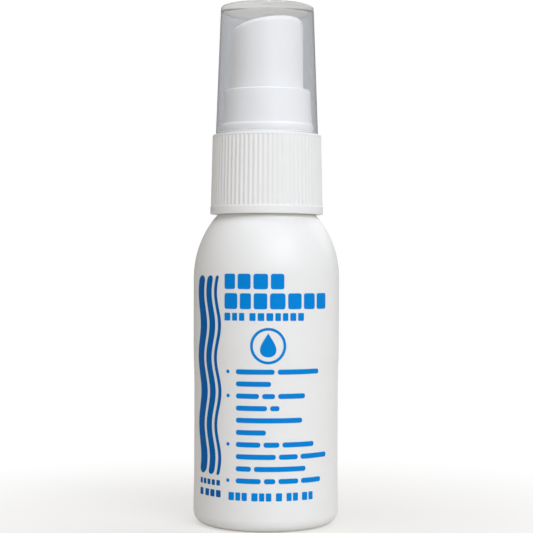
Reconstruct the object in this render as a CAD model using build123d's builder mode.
from build123d import *
import os
from math import atan2, cos, degrees, radians, sqrt, tan

# Pocket lens cleaning spray: a 1 fl oz round bottle with a 20-410 screw-on fine-mist pump and a clear
# overcap. Millimetres, +Z up, origin at the middle of the ring that the bottle stands on. The printed
# side faces -Y.

# ---------------------------------------------------------------- bottle
bottle_radius = 15.0                # straight barrel under the shoulder
panel_radius = 14.8                 # slightly sunk panel that carries the print
heel_radius = 14.9                  # just above the base corner
base_corner_radius = 2.6
heel_top = 4.5
panel_bottom = 10.7
panel_top = 27.2
barrel_bottom = 37.6
shoulder_start = 50.45              # height at which the domed shoulder leaves the barrel
shoulder_arc_radius = 19.75
wall = 1.0
base_thickness = 1.1
push_up = 1.0                       # the middle of the base stands this far off the table
standing_ring_inner_radius = 10.6
ring_run_in_slope = 0.15            # the push-up meets the ring at this slope

# ---------------------------------------------------------------- 20-410 neck finish
neck_radius = 8.85
neck_bore_radius = 6.95
lip_height = 76.4
lip_rounding = 0.3
thread_pitch = 3.175                # 8 turns to the inch
thread_depth = 1.0
thread_sink = 0.2                   # how far a ridge's root runs into its wall
thread_fade_angle = 50              # each ridge fades into its wall over this angle
thread_end_sink = 0.05              # how far under its wall a faded end stops
neck_ridge_root_width = 1.5
neck_ridge_crest_width = 0.7
neck_ridge_start = 70.0
neck_ridge_turns = 1.5

# ---------------------------------------------------------------- closure
closure_bottom = 63.5
closure_top = 79.9
band_top = 65.1                     # smooth band below the ribs
band_radius = 11.64
rib_crest_bottom_radius = 11.55
rib_crest_top_radius = 11.175
rib_depth = 0.35
rib_count = 72
groove_outer_width = 0.62
groove_inner_width = 0.24
closure_bore_radius = 10.05
closure_ridge_root_width = 1.3
closure_ridge_crest_width = 0.6
closure_ridge_drop = 1.2            # the closure's ridge runs this far under the neck's
closure_ridge_lead = 20             # angle by which it starts after the neck's
flange_bore_radius = 8.9            # upper bore that centres the gasket and the pump's flange
flange_bore_bottom = 76.9
deck_bottom = 78.6
deck_hole_radius = 6.7
closure_edge = 0.25

# ---------------------------------------------------------------- turret on the closure
turret_top = 89.0
turret_top_radius = 8.9
turret_foot_radius = 9.25
turret_foot_height = 82.5
bead_radius = 9.63
bead_bottom = 80.4
bead_top = 82.0
bead_root_radius = 9.3
bead_foot_radius = 9.5
turret_bore_radius = 7.8
turret_rounding = 0.35

# ---------------------------------------------------------------- overcap
overcap_gap = 0.05
overcap_top = 106.35
overcap_bottom_radius = 10.55
overcap_top_radius = 9.57
overcap_wall = 0.8
overcap_top_thickness = 1.55
overcap_outer_rounding = 0.4
overcap_inner_rounding = 0.7

# ---------------------------------------------------------------- pump housing
gasket_thickness = 1.0
gasket_radius = 8.7
gasket_hole_radius = 6.3
flange_radius = 8.6
collar_radius = 6.6
collar_top = 80.1
barrel_radius = 6.2                 # wide upper barrel that fills the gasket
barrel_floor_bottom = 72.0
cup_floor = 73.0
cup_radius = 5.1
cylinder_radius = 4.0
cylinder_bore_radius = 3.0
spring_seat = 59.1
cylinder_bottom = 58.1
valve_body_radius = 3.2
ball_chamber_radius = 2.2
valve_cone_bottom = 55.6
inlet_radius = 0.8
valve_body_bottom = 55.0
tube_socket_radius = 2.45
tube_socket_bottom = 49.4
tube_stop = 54.4
ball_radius = 1.5
ball_gap = 0.03
cage_rib_count = 4
cage_rib_width = 0.7
cage_rib_overlap = 0.2              # how far a rib's root runs into the housing's wall
cage_rib_inner_radius = 1.65
cage_nub_inner_radius = 1.25
cage_nub_height = 0.4
vent_radius = 0.4
vent_height = 75.0

# ---------------------------------------------------------------- stem, piston, valve rod, spring
retainer_flange_radius = 7.4
retainer_flange_top = 81.1
bush_radius = 2.7
bush_bore_radius = 1.87
bush_bottom = 76.2
bush_top = 82.2
retainer_plug_inner_radius = 4.1
retainer_plug_bottom = 77.0
stem_radius = 1.8
stem_bore_radius = 0.8
stem_top = 95.0
stem_collar_radius = 2.7
stem_collar_bottom = 75.15
stem_collar_top = 76.15
stem_skirt_radius = 2.1
stem_bottom = 73.2
rod_socket_top = 76.0
rod_radius = 1.0
rod_top = 75.9
rod_flute_radius = 0.42
rod_flute_count = 3
rod_head_radius = 2.1
rod_head_bottom = 67.9
rod_spigot_radius = 1.6
rod_spigot_bottom = 65.9
piston_bottom = 69.3
piston_top = 72.8
piston_lip_radius = 2.95
piston_lip_height = 0.8
piston_waist_radius = 2.5
piston_bore_radius = 1.2
piston_seat_radius = 1.9
piston_seat_depth = 0.7
seat_gap = 0.04
spring_wire_radius = 0.25
spring_mean_radius = 2.15
spring_turns = 5.5

# ---------------------------------------------------------------- dip tube
tube_radius = 1.5
tube_bore_radius = 1.0
tube_bottom = 3.4
tube_cut_angle = 35

# ---------------------------------------------------------------- actuator and nozzle
actuator_bottom = 86.6
actuator_bottom_radius = 7.475
actuator_top_radius = 7.4
actuator_top_height = 102.3         # on the axis
actuator_slant = 12.7               # degrees between the finger pad and the horizontal
nozzle_bearing = 130                # degrees from +X to the spray direction, the pad's low side
actuator_rim_rounding = 1.1
actuator_wall = 1.1
actuator_roof = 1.4
dish_depth = 0.35
dish_radius = 5.6
post_radius = 3.0
post_bottom = 88.0
stem_socket_radius = 1.85
stem_socket_top = 95.05
nozzle_height = 96.6
nozzle_boss_radius = 3.1
pocket_radius = 2.3
pocket_floor = 4.2                  # distances from the axis along the spray direction
pin_end = 6.35
pin_radius = 1.2
duct_radius = 0.5
duct_rise = 1.7                     # the duct meets the pocket above its pin
insert_back = 4.8
insert_face = 7.05
insert_bore_radius = 1.55
orifice_radius = 0.18
orifice_cone_radius = 1.1
orifice_cone_depth = 0.5
swirl_radius = 0.5
swirl_depth = 0.22
swirl_slot_width = 0.28
swirl_slot_count = 3

overshoot = 1.0                     # how far a cutting solid runs past the face it opens
shoulder_centre = bottle_radius - shoulder_arc_radius


def shoulder_height(radius, arc_radius):
    """Height of the domed shoulder at a distance from the axis."""
    return shoulder_start + sqrt(arc_radius**2 - (radius - shoulder_centre) ** 2)


def thread_ridge(root_radius, crest_radius, root_width, crest_width, first_angle, turns, start_height):
    """A trapezoid ridge on a right-hand helix, fading into its wall at both ends."""
    outward = 1 if crest_radius > root_radius else -1
    crest = crest_radius - root_radius
    sink = -outward * thread_sink
    rise = thread_pitch * turns
    # An off-centre circle trims each end: it just misses the crest at the fade angle, and passes under
    # the wall at the very end.
    fade_reach = (thread_depth + thread_end_sink) / (1 - cos(radians(thread_fade_angle)))
    fade_radius = root_radius + outward * (fade_reach - thread_end_sink)
    with BuildPart() as ridge:
        with BuildLine() as path:
            Helix(thread_pitch, rise, root_radius)
        helix = path.edges()[0]
        with BuildSketch(Plane(origin=helix @ 0, x_dir=(1, 0, 0), z_dir=helix % 0)):
            with BuildLine():
                Polyline(
                    (sink, -root_width / 2),
                    (crest, -crest_width / 2),
                    (crest, crest_width / 2),
                    (sink, root_width / 2),
                    close=True,
                )
            make_face()
        sweep(path=helix, is_frenet=True)
        for end_angle, end_height in ((0, 0), (360 * turns, rise)):
            with BuildSketch(Plane.XY.offset(end_height - thread_pitch / 2).rotated((0, 0, end_angle))):
                if outward > 0:
                    Circle(crest_radius + 2 * fade_reach)
                with Locations((-outward * fade_reach, 0)):
                    Circle(fade_radius, mode=Mode.SUBTRACT if outward > 0 else Mode.ADD)
            extrude(amount=thread_pitch, mode=Mode.SUBTRACT)
    return ridge.part.moved(Location((0, 0, start_height), (0, 0, first_angle)))


# ================================================================ bottle
neck_ridge = thread_ridge(
    neck_radius,
    neck_radius + thread_depth,
    neck_ridge_root_width,
    neck_ridge_crest_width,
    0,
    neck_ridge_turns,
    neck_ridge_start,
)

with BuildPart() as bottle:
    neck_root = shoulder_height(neck_radius, shoulder_arc_radius)
    with BuildSketch(Plane.XZ):
        with BuildLine():
            ring_edge = heel_radius - base_corner_radius
            base_middle = Polyline((0, lip_height), (0, push_up), (standing_ring_inner_radius / 2, push_up))
            ring_run_in = Spline(
                base_middle @ 1,
                (standing_ring_inner_radius, 0),
                tangents=[(1, 0), (1, -ring_run_in_slope)],
            )
            ring = Line(ring_run_in @ 1, (ring_edge, 0))
            corner = RadiusArc(ring @ 1, (heel_radius, base_corner_radius), -base_corner_radius)
            heel = Line(corner @ 1, (heel_radius, heel_top))
            heel_blend = Spline(heel @ 1, (panel_radius, panel_bottom), tangents=[(0, 1), (0, 1)])
            panel = Line(heel_blend @ 1, (panel_radius, panel_top))
            panel_blend = Spline(panel @ 1, (bottle_radius, barrel_bottom), tangents=[(0, 1), (0, 1)])
            barrel = Line(panel_blend @ 1, (bottle_radius, shoulder_start))
            shoulder = RadiusArc(barrel @ 1, (neck_radius, neck_root), -shoulder_arc_radius)
            neck = Polyline(shoulder @ 1, (neck_radius, lip_height), (0, lip_height))
        make_face()
    revolve(axis=Axis.Z)
    add(neck_ridge)
    # The cavity follows the outside one wall thickness in, and the neck has its own straight bore.
    with BuildSketch(Plane.XZ):
        with BuildLine():
            inner_arc_radius = shoulder_arc_radius - wall
            floor = push_up + base_thickness
            inner_corner_radius = base_corner_radius - wall
            inner_radius = panel_radius - wall
            bore_root = shoulder_height(neck_bore_radius, inner_arc_radius)
            inner_floor = Polyline((0, lip_height), (0, floor), (inner_radius - inner_corner_radius, floor))
            inner_corner = RadiusArc(
                inner_floor @ 1,
                (inner_radius, floor + inner_corner_radius),
                -inner_corner_radius,
            )
            inner_panel = Line(inner_corner @ 1, (inner_radius, panel_top))
            inner_blend = Spline(
                inner_panel @ 1,
                (bottle_radius - wall, barrel_bottom),
                tangents=[(0, 1), (0, 1)],
            )
            inner_barrel = Line(inner_blend @ 1, (bottle_radius - wall, shoulder_start))
            inner_shoulder = RadiusArc(inner_barrel @ 1, (neck_bore_radius, bore_root), -inner_arc_radius)
            bore = Polyline(inner_shoulder @ 1, (neck_bore_radius, lip_height), (0, lip_height))
        make_face()
    revolve(axis=Axis.Z, mode=Mode.SUBTRACT)
    fillet(bottle.faces().sort_by(Axis.Z)[-1].edges(), radius=lip_rounding)

bottle.part.label = "bottle"

# ================================================================ closure
closure_ridge = thread_ridge(
    closure_bore_radius,
    closure_bore_radius - thread_depth,
    closure_ridge_root_width,
    closure_ridge_crest_width,
    closure_ridge_lead,
    neck_ridge_turns - closure_ridge_lead / 360,
    neck_ridge_start - closure_ridge_drop + thread_pitch * closure_ridge_lead / 360,
)

# One groove between two ribs: it leans inwards with the tapered skirt.
with BuildPart() as rib_groove:
    for height, crest_radius in (
        (band_top, rib_crest_bottom_radius),
        (closure_top, rib_crest_top_radius),
    ):
        with BuildSketch(Plane.XY.offset(height)):
            with BuildLine():
                Polyline(
                    (crest_radius - rib_depth, -groove_inner_width / 2),
                    (crest_radius, -groove_outer_width / 2),
                    (crest_radius + rib_depth, -groove_outer_width / 2),
                    (crest_radius + rib_depth, groove_outer_width / 2),
                    (crest_radius, groove_outer_width / 2),
                    (crest_radius - rib_depth, groove_inner_width / 2),
                    close=True,
                )
            make_face()
    loft()

with BuildPart() as closure:
    with BuildSketch(Plane.XZ):
        with BuildLine():
            skirt = Polyline(
                (turret_bore_radius, turret_top),
                (turret_bore_radius, closure_top),
                (deck_hole_radius, closure_top),
                (deck_hole_radius, deck_bottom),
                (flange_bore_radius, deck_bottom),
                (flange_bore_radius, flange_bore_bottom),
                (closure_bore_radius, flange_bore_bottom - closure_bore_radius + flange_bore_radius),
                (closure_bore_radius, closure_bottom + closure_edge),
                (closure_bore_radius + closure_edge, closure_bottom),
                (band_radius - closure_edge, closure_bottom),
                (band_radius, closure_bottom + closure_edge),
                (band_radius, band_top),
                (rib_crest_bottom_radius, band_top),
                (rib_crest_top_radius, closure_top - closure_edge),
                (rib_crest_top_radius - closure_edge, closure_top),
                (bead_foot_radius, closure_top),
                (bead_foot_radius, bead_bottom),
            )
            bead = ThreePointArc(
                skirt @ 1,
                (bead_radius, (bead_bottom + bead_top) / 2),
                (bead_root_radius, bead_top),
            )
            turret = Polyline(
                bead @ 1,
                (turret_foot_radius, turret_foot_height),
                (turret_top_radius, turret_top),
                (turret_bore_radius, turret_top),
            )
        make_face()
    revolve(axis=Axis.Z)
    turret_rim = closure.faces().sort_by(Axis.Z)[-1]
    fillet(turret_rim.edges().sort_by(SortBy.RADIUS)[-1], radius=turret_rounding)
    with PolarLocations(0, rib_count):
        add(rib_groove.part, mode=Mode.SUBTRACT)
    add(closure_ridge)

closure.part.label = "closure"

# ================================================================ overcap
overcap_bottom = closure_top + overcap_gap
overcap_lean = (overcap_bottom_radius - overcap_top_radius) / (overcap_top - overcap_bottom)
overcap_ceiling = overcap_top - overcap_top_thickness

with BuildPart() as overcap:
    with BuildSketch(Plane.XZ):
        with BuildLine():
            ceiling_radius = overcap_bottom_radius - overcap_wall
            ceiling_radius -= overcap_lean * (overcap_ceiling - overcap_bottom)
            Polyline(
                (0, overcap_top),
                (0, overcap_ceiling),
                (ceiling_radius, overcap_ceiling),
                (overcap_bottom_radius - overcap_wall, overcap_bottom),
                (overcap_bottom_radius, overcap_bottom),
                (overcap_top_radius, overcap_top),
                close=True,
            )
        make_face()
    revolve(axis=Axis.Z)
    ceiling_edge = overcap.edges().filter_by(GeomType.CIRCLE).group_by(Axis.Z)[-2]
    fillet(ceiling_edge, radius=overcap_inner_rounding)
    top_edge = overcap.edges().filter_by(GeomType.CIRCLE).group_by(Axis.Z)[-1]
    fillet(top_edge, radius=overcap_outer_rounding)

overcap.part.label = "overcap"

# ================================================================ neck gasket
with BuildPart() as neck_gasket:
    with BuildSketch(Plane.XY.offset(lip_height)):
        Circle(gasket_radius)
        Circle(gasket_hole_radius, mode=Mode.SUBTRACT)
    extrude(amount=gasket_thickness)

neck_gasket.part.label = "neck_gasket"

# ================================================================ pump housing
flange_bottom = lip_height + gasket_thickness
valve_cone_top = valve_cone_bottom + ball_chamber_radius - inlet_radius

with BuildPart() as pump_housing:
    with BuildSketch(Plane.XZ):
        with BuildLine():
            Polyline(
                (cup_radius, collar_top),
                (cup_radius, cup_floor),
                (cylinder_bore_radius, cup_floor),
                (cylinder_bore_radius, spring_seat),
                (ball_chamber_radius, spring_seat),
                (ball_chamber_radius, valve_cone_top),
                (inlet_radius, valve_cone_bottom),
                (inlet_radius, tube_stop),
                (tube_radius, tube_stop),
                (tube_radius, tube_socket_bottom),
                (tube_socket_radius, tube_socket_bottom),
                (tube_socket_radius, valve_body_bottom),
                (valve_body_radius, valve_body_bottom + valve_body_radius - tube_socket_radius),
                (valve_body_radius, cylinder_bottom),
                (cylinder_radius, cylinder_bottom + cylinder_radius - valve_body_radius),
                (cylinder_radius, barrel_floor_bottom - barrel_radius + cylinder_radius),
                (barrel_radius, barrel_floor_bottom),
                (barrel_radius, flange_bottom),
                (flange_radius, flange_bottom),
                (flange_radius, deck_bottom),
                (collar_radius, deck_bottom),
                (collar_radius, collar_top),
                close=True,
            )
        make_face()
    revolve(axis=Axis.Z)
    # Four ribs keep the ball on its seat's axis, and their nubs stop it under the spring.
    for inner_radius_of_rib, rib_bottom in (
        (cage_rib_inner_radius, valve_cone_bottom + cage_rib_inner_radius - inlet_radius),
        (cage_nub_inner_radius, spring_seat - cage_nub_height),
    ):
        rib_length = ball_chamber_radius - inner_radius_of_rib + cage_rib_overlap
        with BuildSketch(Plane.XY.offset(rib_bottom)):
            with PolarLocations(inner_radius_of_rib + rib_length / 2, cage_rib_count):
                Rectangle(rib_length, cage_rib_width)
        extrude(amount=spring_seat - rib_bottom)
    # Air enters the bottle through this hole while the pump is worked.
    with BuildSketch(Plane.YZ.offset(cup_radius - overshoot)):
        with Locations((0, vent_height)):
            Circle(vent_radius)
    extrude(amount=barrel_radius - cup_radius + 2 * overshoot, mode=Mode.SUBTRACT)

pump_housing.part.label = "pump_housing"

# ================================================================ inlet ball
seat_apex = valve_cone_bottom - inlet_radius
ball_height = seat_apex + ball_radius * sqrt(2) + ball_gap * sqrt(2)

with BuildPart() as inlet_ball:
    with BuildSketch(Plane.XZ):
        with BuildLine():
            ball_arc = CenterArc((0, ball_height), ball_radius, -90, 180)
            Line(ball_arc @ 0, ball_arc @ 1)
        make_face()
    revolve(axis=Axis.Z)

inlet_ball.part.label = "inlet_ball"

# ================================================================ dip tube
with BuildPart() as dip_tube:
    with BuildSketch(Plane.XY.offset(tube_bottom)):
        Circle(tube_radius)
        Circle(tube_bore_radius, mode=Mode.SUBTRACT)
    extrude(amount=tube_stop - tube_bottom)
    # The lower end is cut at a slant so that it can't seal against the floor.
    cut_height = tube_bottom + tube_radius * tan(radians(tube_cut_angle))
    cut_normal = Vector(0, 0, 1).rotate(Axis.Y, tube_cut_angle)
    split(bisect_by=Plane((0, 0, cut_height), x_dir=(0, 1, 0), z_dir=cut_normal))

dip_tube.part.label = "dip_tube"

# ================================================================ stem retainer
with BuildPart() as stem_retainer:
    with BuildSketch(Plane.XZ):
        with BuildLine():
            Polyline(
                (bush_bore_radius, bush_top),
                (bush_bore_radius, bush_bottom),
                (bush_radius, bush_bottom),
                (bush_radius, collar_top),
                (retainer_plug_inner_radius, collar_top),
                (retainer_plug_inner_radius, retainer_plug_bottom),
                (cup_radius, retainer_plug_bottom),
                (cup_radius, collar_top),
                (retainer_flange_radius, collar_top),
                (retainer_flange_radius, retainer_flange_top),
                (bush_radius, retainer_flange_top),
                (bush_radius, bush_top),
                close=True,
            )
        make_face()
    revolve(axis=Axis.Z)

stem_retainer.part.label = "stem_retainer"

# ================================================================ stem
with BuildPart() as stem:
    with BuildSketch(Plane.XZ):
        with BuildLine():
            Polyline(
                (stem_bore_radius, stem_top),
                (stem_bore_radius, rod_socket_top),
                (rod_radius, rod_socket_top),
                (rod_radius, stem_bottom),
                (stem_skirt_radius, stem_bottom),
                (stem_skirt_radius, stem_collar_bottom),
                (stem_collar_radius, stem_collar_bottom),
                (stem_collar_radius, stem_collar_top),
                (stem_radius, stem_collar_top),
                (stem_radius, stem_top),
                close=True,
            )
        make_face()
    revolve(axis=Axis.Z)

stem.part.label = "stem"

# ================================================================ valve rod
cone_slope_gap = seat_gap * sqrt(2)

with BuildPart() as valve_rod:
    with BuildSketch(Plane.XZ):
        with BuildLine():
            Polyline(
                (0, rod_top),
                (0, rod_spigot_bottom),
                (rod_spigot_radius, rod_spigot_bottom),
                (rod_spigot_radius, rod_head_bottom),
                (rod_head_radius, rod_head_bottom),
                (rod_head_radius, piston_bottom - cone_slope_gap),
                (piston_seat_radius, piston_bottom - cone_slope_gap),
                (rod_radius, piston_bottom - cone_slope_gap + piston_seat_radius - rod_radius),
                (rod_radius, rod_top),
                close=True,
            )
        make_face()
    revolve(axis=Axis.Z)
    # Flutes carry the liquid past the rod into the stem's bore.
    flute_bottom = piston_bottom + piston_seat_radius - rod_radius
    with BuildSketch(Plane.XY.offset(flute_bottom)):
        with PolarLocations(rod_radius, rod_flute_count):
            Circle(rod_flute_radius)
    extrude(amount=rod_top - flute_bottom, mode=Mode.SUBTRACT)

valve_rod.part.label = "valve_rod"

# ================================================================ piston
with BuildPart() as piston:
    with BuildSketch(Plane.XZ):
        with BuildLine():
            lip_slope = piston_lip_radius - piston_waist_radius
            Polyline(
                (piston_bore_radius, piston_top),
                (piston_bore_radius, piston_bottom + piston_seat_depth),
                (piston_seat_radius, piston_bottom),
                (piston_lip_radius, piston_bottom),
                (piston_lip_radius, piston_bottom + piston_lip_height - lip_slope),
                (piston_waist_radius, piston_bottom + piston_lip_height),
                (piston_waist_radius, piston_top - piston_lip_height),
                (piston_lip_radius, piston_top - piston_lip_height + lip_slope),
                (piston_lip_radius, piston_top),
                close=True,
            )
        make_face()
    revolve(axis=Axis.Z)

piston.part.label = "piston"

# ================================================================ return spring
spring_length = rod_head_bottom - spring_seat
spring_pitch = spring_length / spring_turns

with BuildPart() as return_spring:
    with BuildLine() as coil:
        Helix(spring_pitch, spring_length, spring_mean_radius, center=(0, 0, spring_seat))
    coil_edge = coil.edges()[0]
    with BuildSketch(Plane(origin=coil_edge @ 0, x_dir=(1, 0, 0), z_dir=coil_edge % 0)):
        Circle(spring_wire_radius)
    sweep(path=coil_edge, is_frenet=True)
    # Both ends are ground flat.
    split(bisect_by=Plane.XY.offset(spring_seat), keep=Keep.TOP)
    split(bisect_by=Plane.XY.offset(rod_head_bottom), keep=Keep.BOTTOM)

return_spring.part.label = "return_spring"

# ================================================================ actuator
spray = Vector(1, 0, 0).rotate(Axis.Z, nozzle_bearing)
spray_side = Vector(0, 0, 1).cross(spray)
pad_normal = Vector(0, 0, 1).rotate(Axis((0, 0, 0), spray_side), actuator_slant)
pad_plane = Plane((0, 0, actuator_top_height), x_dir=spray_side, z_dir=pad_normal)
nozzle_plane = Plane((0, 0, nozzle_height), x_dir=spray_side, z_dir=spray)
actuator_lean = degrees(
    atan2(actuator_bottom_radius - actuator_top_radius, actuator_top_height - actuator_bottom)
)
blank_height = actuator_top_height + actuator_top_radius - actuator_bottom

# The space inside the button: an annulus round the post, roofed parallel to the pad, with the nozzle's
# boss left standing in it.
with BuildPart() as button_cavity:
    with BuildSketch(Plane.XY.offset(actuator_bottom)):
        Circle(actuator_top_radius - actuator_wall)
    extrude(amount=blank_height)
    split(bisect_by=pad_plane.offset(-actuator_roof), keep=Keep.BOTTOM)
    with BuildSketch(Plane.XY.offset(post_bottom)):
        Circle(post_radius)
    extrude(amount=blank_height, mode=Mode.SUBTRACT)
    with BuildSketch(nozzle_plane):
        Circle(nozzle_boss_radius)
    extrude(amount=actuator_bottom_radius, mode=Mode.SUBTRACT)

with BuildPart() as actuator:
    with BuildSketch(Plane.XY.offset(actuator_bottom)):
        Circle(actuator_bottom_radius)
    extrude(amount=blank_height, taper=actuator_lean)
    split(bisect_by=pad_plane, keep=Keep.BOTTOM)
    fillet(actuator.faces().sort_by(Axis.Z)[-1].edges(), radius=actuator_rim_rounding)
    add(button_cavity.part, mode=Mode.SUBTRACT)
    # A shallow spherical dish for the fingertip.
    dish_sphere_radius = (dish_radius**2 + dish_depth**2) / (2 * dish_depth)
    with BuildSketch(Plane(pad_plane.origin, x_dir=pad_normal, z_dir=spray_side)):
        with Locations((dish_sphere_radius - dish_depth, 0)):
            Circle(dish_sphere_radius)
        with Locations((dish_sphere_radius - dish_depth, -dish_sphere_radius)):
            Rectangle(2 * dish_sphere_radius, 2 * dish_sphere_radius, mode=Mode.SUBTRACT)
    revolve(axis=Axis(pad_plane.origin, pad_normal), mode=Mode.SUBTRACT)
    # Socket for the stem, riser above it, and the duct across to the nozzle.
    with BuildSketch(Plane.XY.offset(post_bottom)):
        Circle(stem_socket_radius)
    extrude(amount=stem_socket_top - post_bottom, mode=Mode.SUBTRACT)
    duct_height = nozzle_height + duct_rise
    with BuildSketch(Plane.XY.offset(stem_socket_top)):
        Circle(stem_bore_radius)
    extrude(amount=duct_height + duct_radius - stem_socket_top, mode=Mode.SUBTRACT)
    with BuildSketch(nozzle_plane):
        with Locations(nozzle_plane.to_local_coords(Vector(0, 0, duct_height))):
            Circle(duct_radius)
    extrude(amount=pocket_floor, mode=Mode.SUBTRACT)
    # Pocket for the nozzle insert, round a pin.
    with BuildSketch(nozzle_plane.offset(pocket_floor)):
        Circle(pocket_radius)
        Circle(pin_radius, mode=Mode.SUBTRACT)
    extrude(amount=pin_end - pocket_floor, mode=Mode.SUBTRACT)
    with BuildSketch(nozzle_plane.offset(pin_end)):
        Circle(pocket_radius)
    extrude(amount=actuator_bottom_radius, mode=Mode.SUBTRACT)

actuator.part.label = "actuator"

# ================================================================ nozzle insert
with BuildPart() as nozzle_insert:
    with BuildSketch(nozzle_plane.offset(insert_back)):
        Circle(pocket_radius)
    extrude(amount=insert_face - insert_back)
    with BuildSketch(nozzle_plane.offset(insert_back)):
        Circle(insert_bore_radius)
    extrude(amount=pin_end - insert_back, mode=Mode.SUBTRACT)
    # Swirl chamber in front of the pin, fed by slots that enter it off-centre.
    with BuildSketch(nozzle_plane.offset(pin_end)):
        Circle(swirl_radius)
        with PolarLocations(swirl_radius - swirl_slot_width / 2, swirl_slot_count):
            with Locations((0, insert_bore_radius / 2)):
                Rectangle(swirl_slot_width, insert_bore_radius)
    extrude(amount=swirl_depth, mode=Mode.SUBTRACT)
    with BuildSketch(nozzle_plane.offset(pin_end)):
        Circle(orifice_radius)
    extrude(amount=insert_face - pin_end, mode=Mode.SUBTRACT)
    with BuildSketch(nozzle_plane.offset(insert_face)):
        Circle(orifice_cone_radius)
    with BuildSketch(nozzle_plane.offset(insert_face - orifice_cone_depth)):
        Circle(orifice_radius)
    loft(mode=Mode.SUBTRACT)

nozzle_insert.part.label = "nozzle_insert"

# ================================================================ files
pieces = [
    bottle,
    closure,
    overcap,
    neck_gasket,
    pump_housing,
    inlet_ball,
    dip_tube,
    stem_retainer,
    stem,
    valve_rod,
    piston,
    return_spring,
    actuator,
    nozzle_insert,
]

os.makedirs("parts", exist_ok=True)
for piece in pieces:
    export_step(piece.part, f"parts/{piece.part.label}.step")
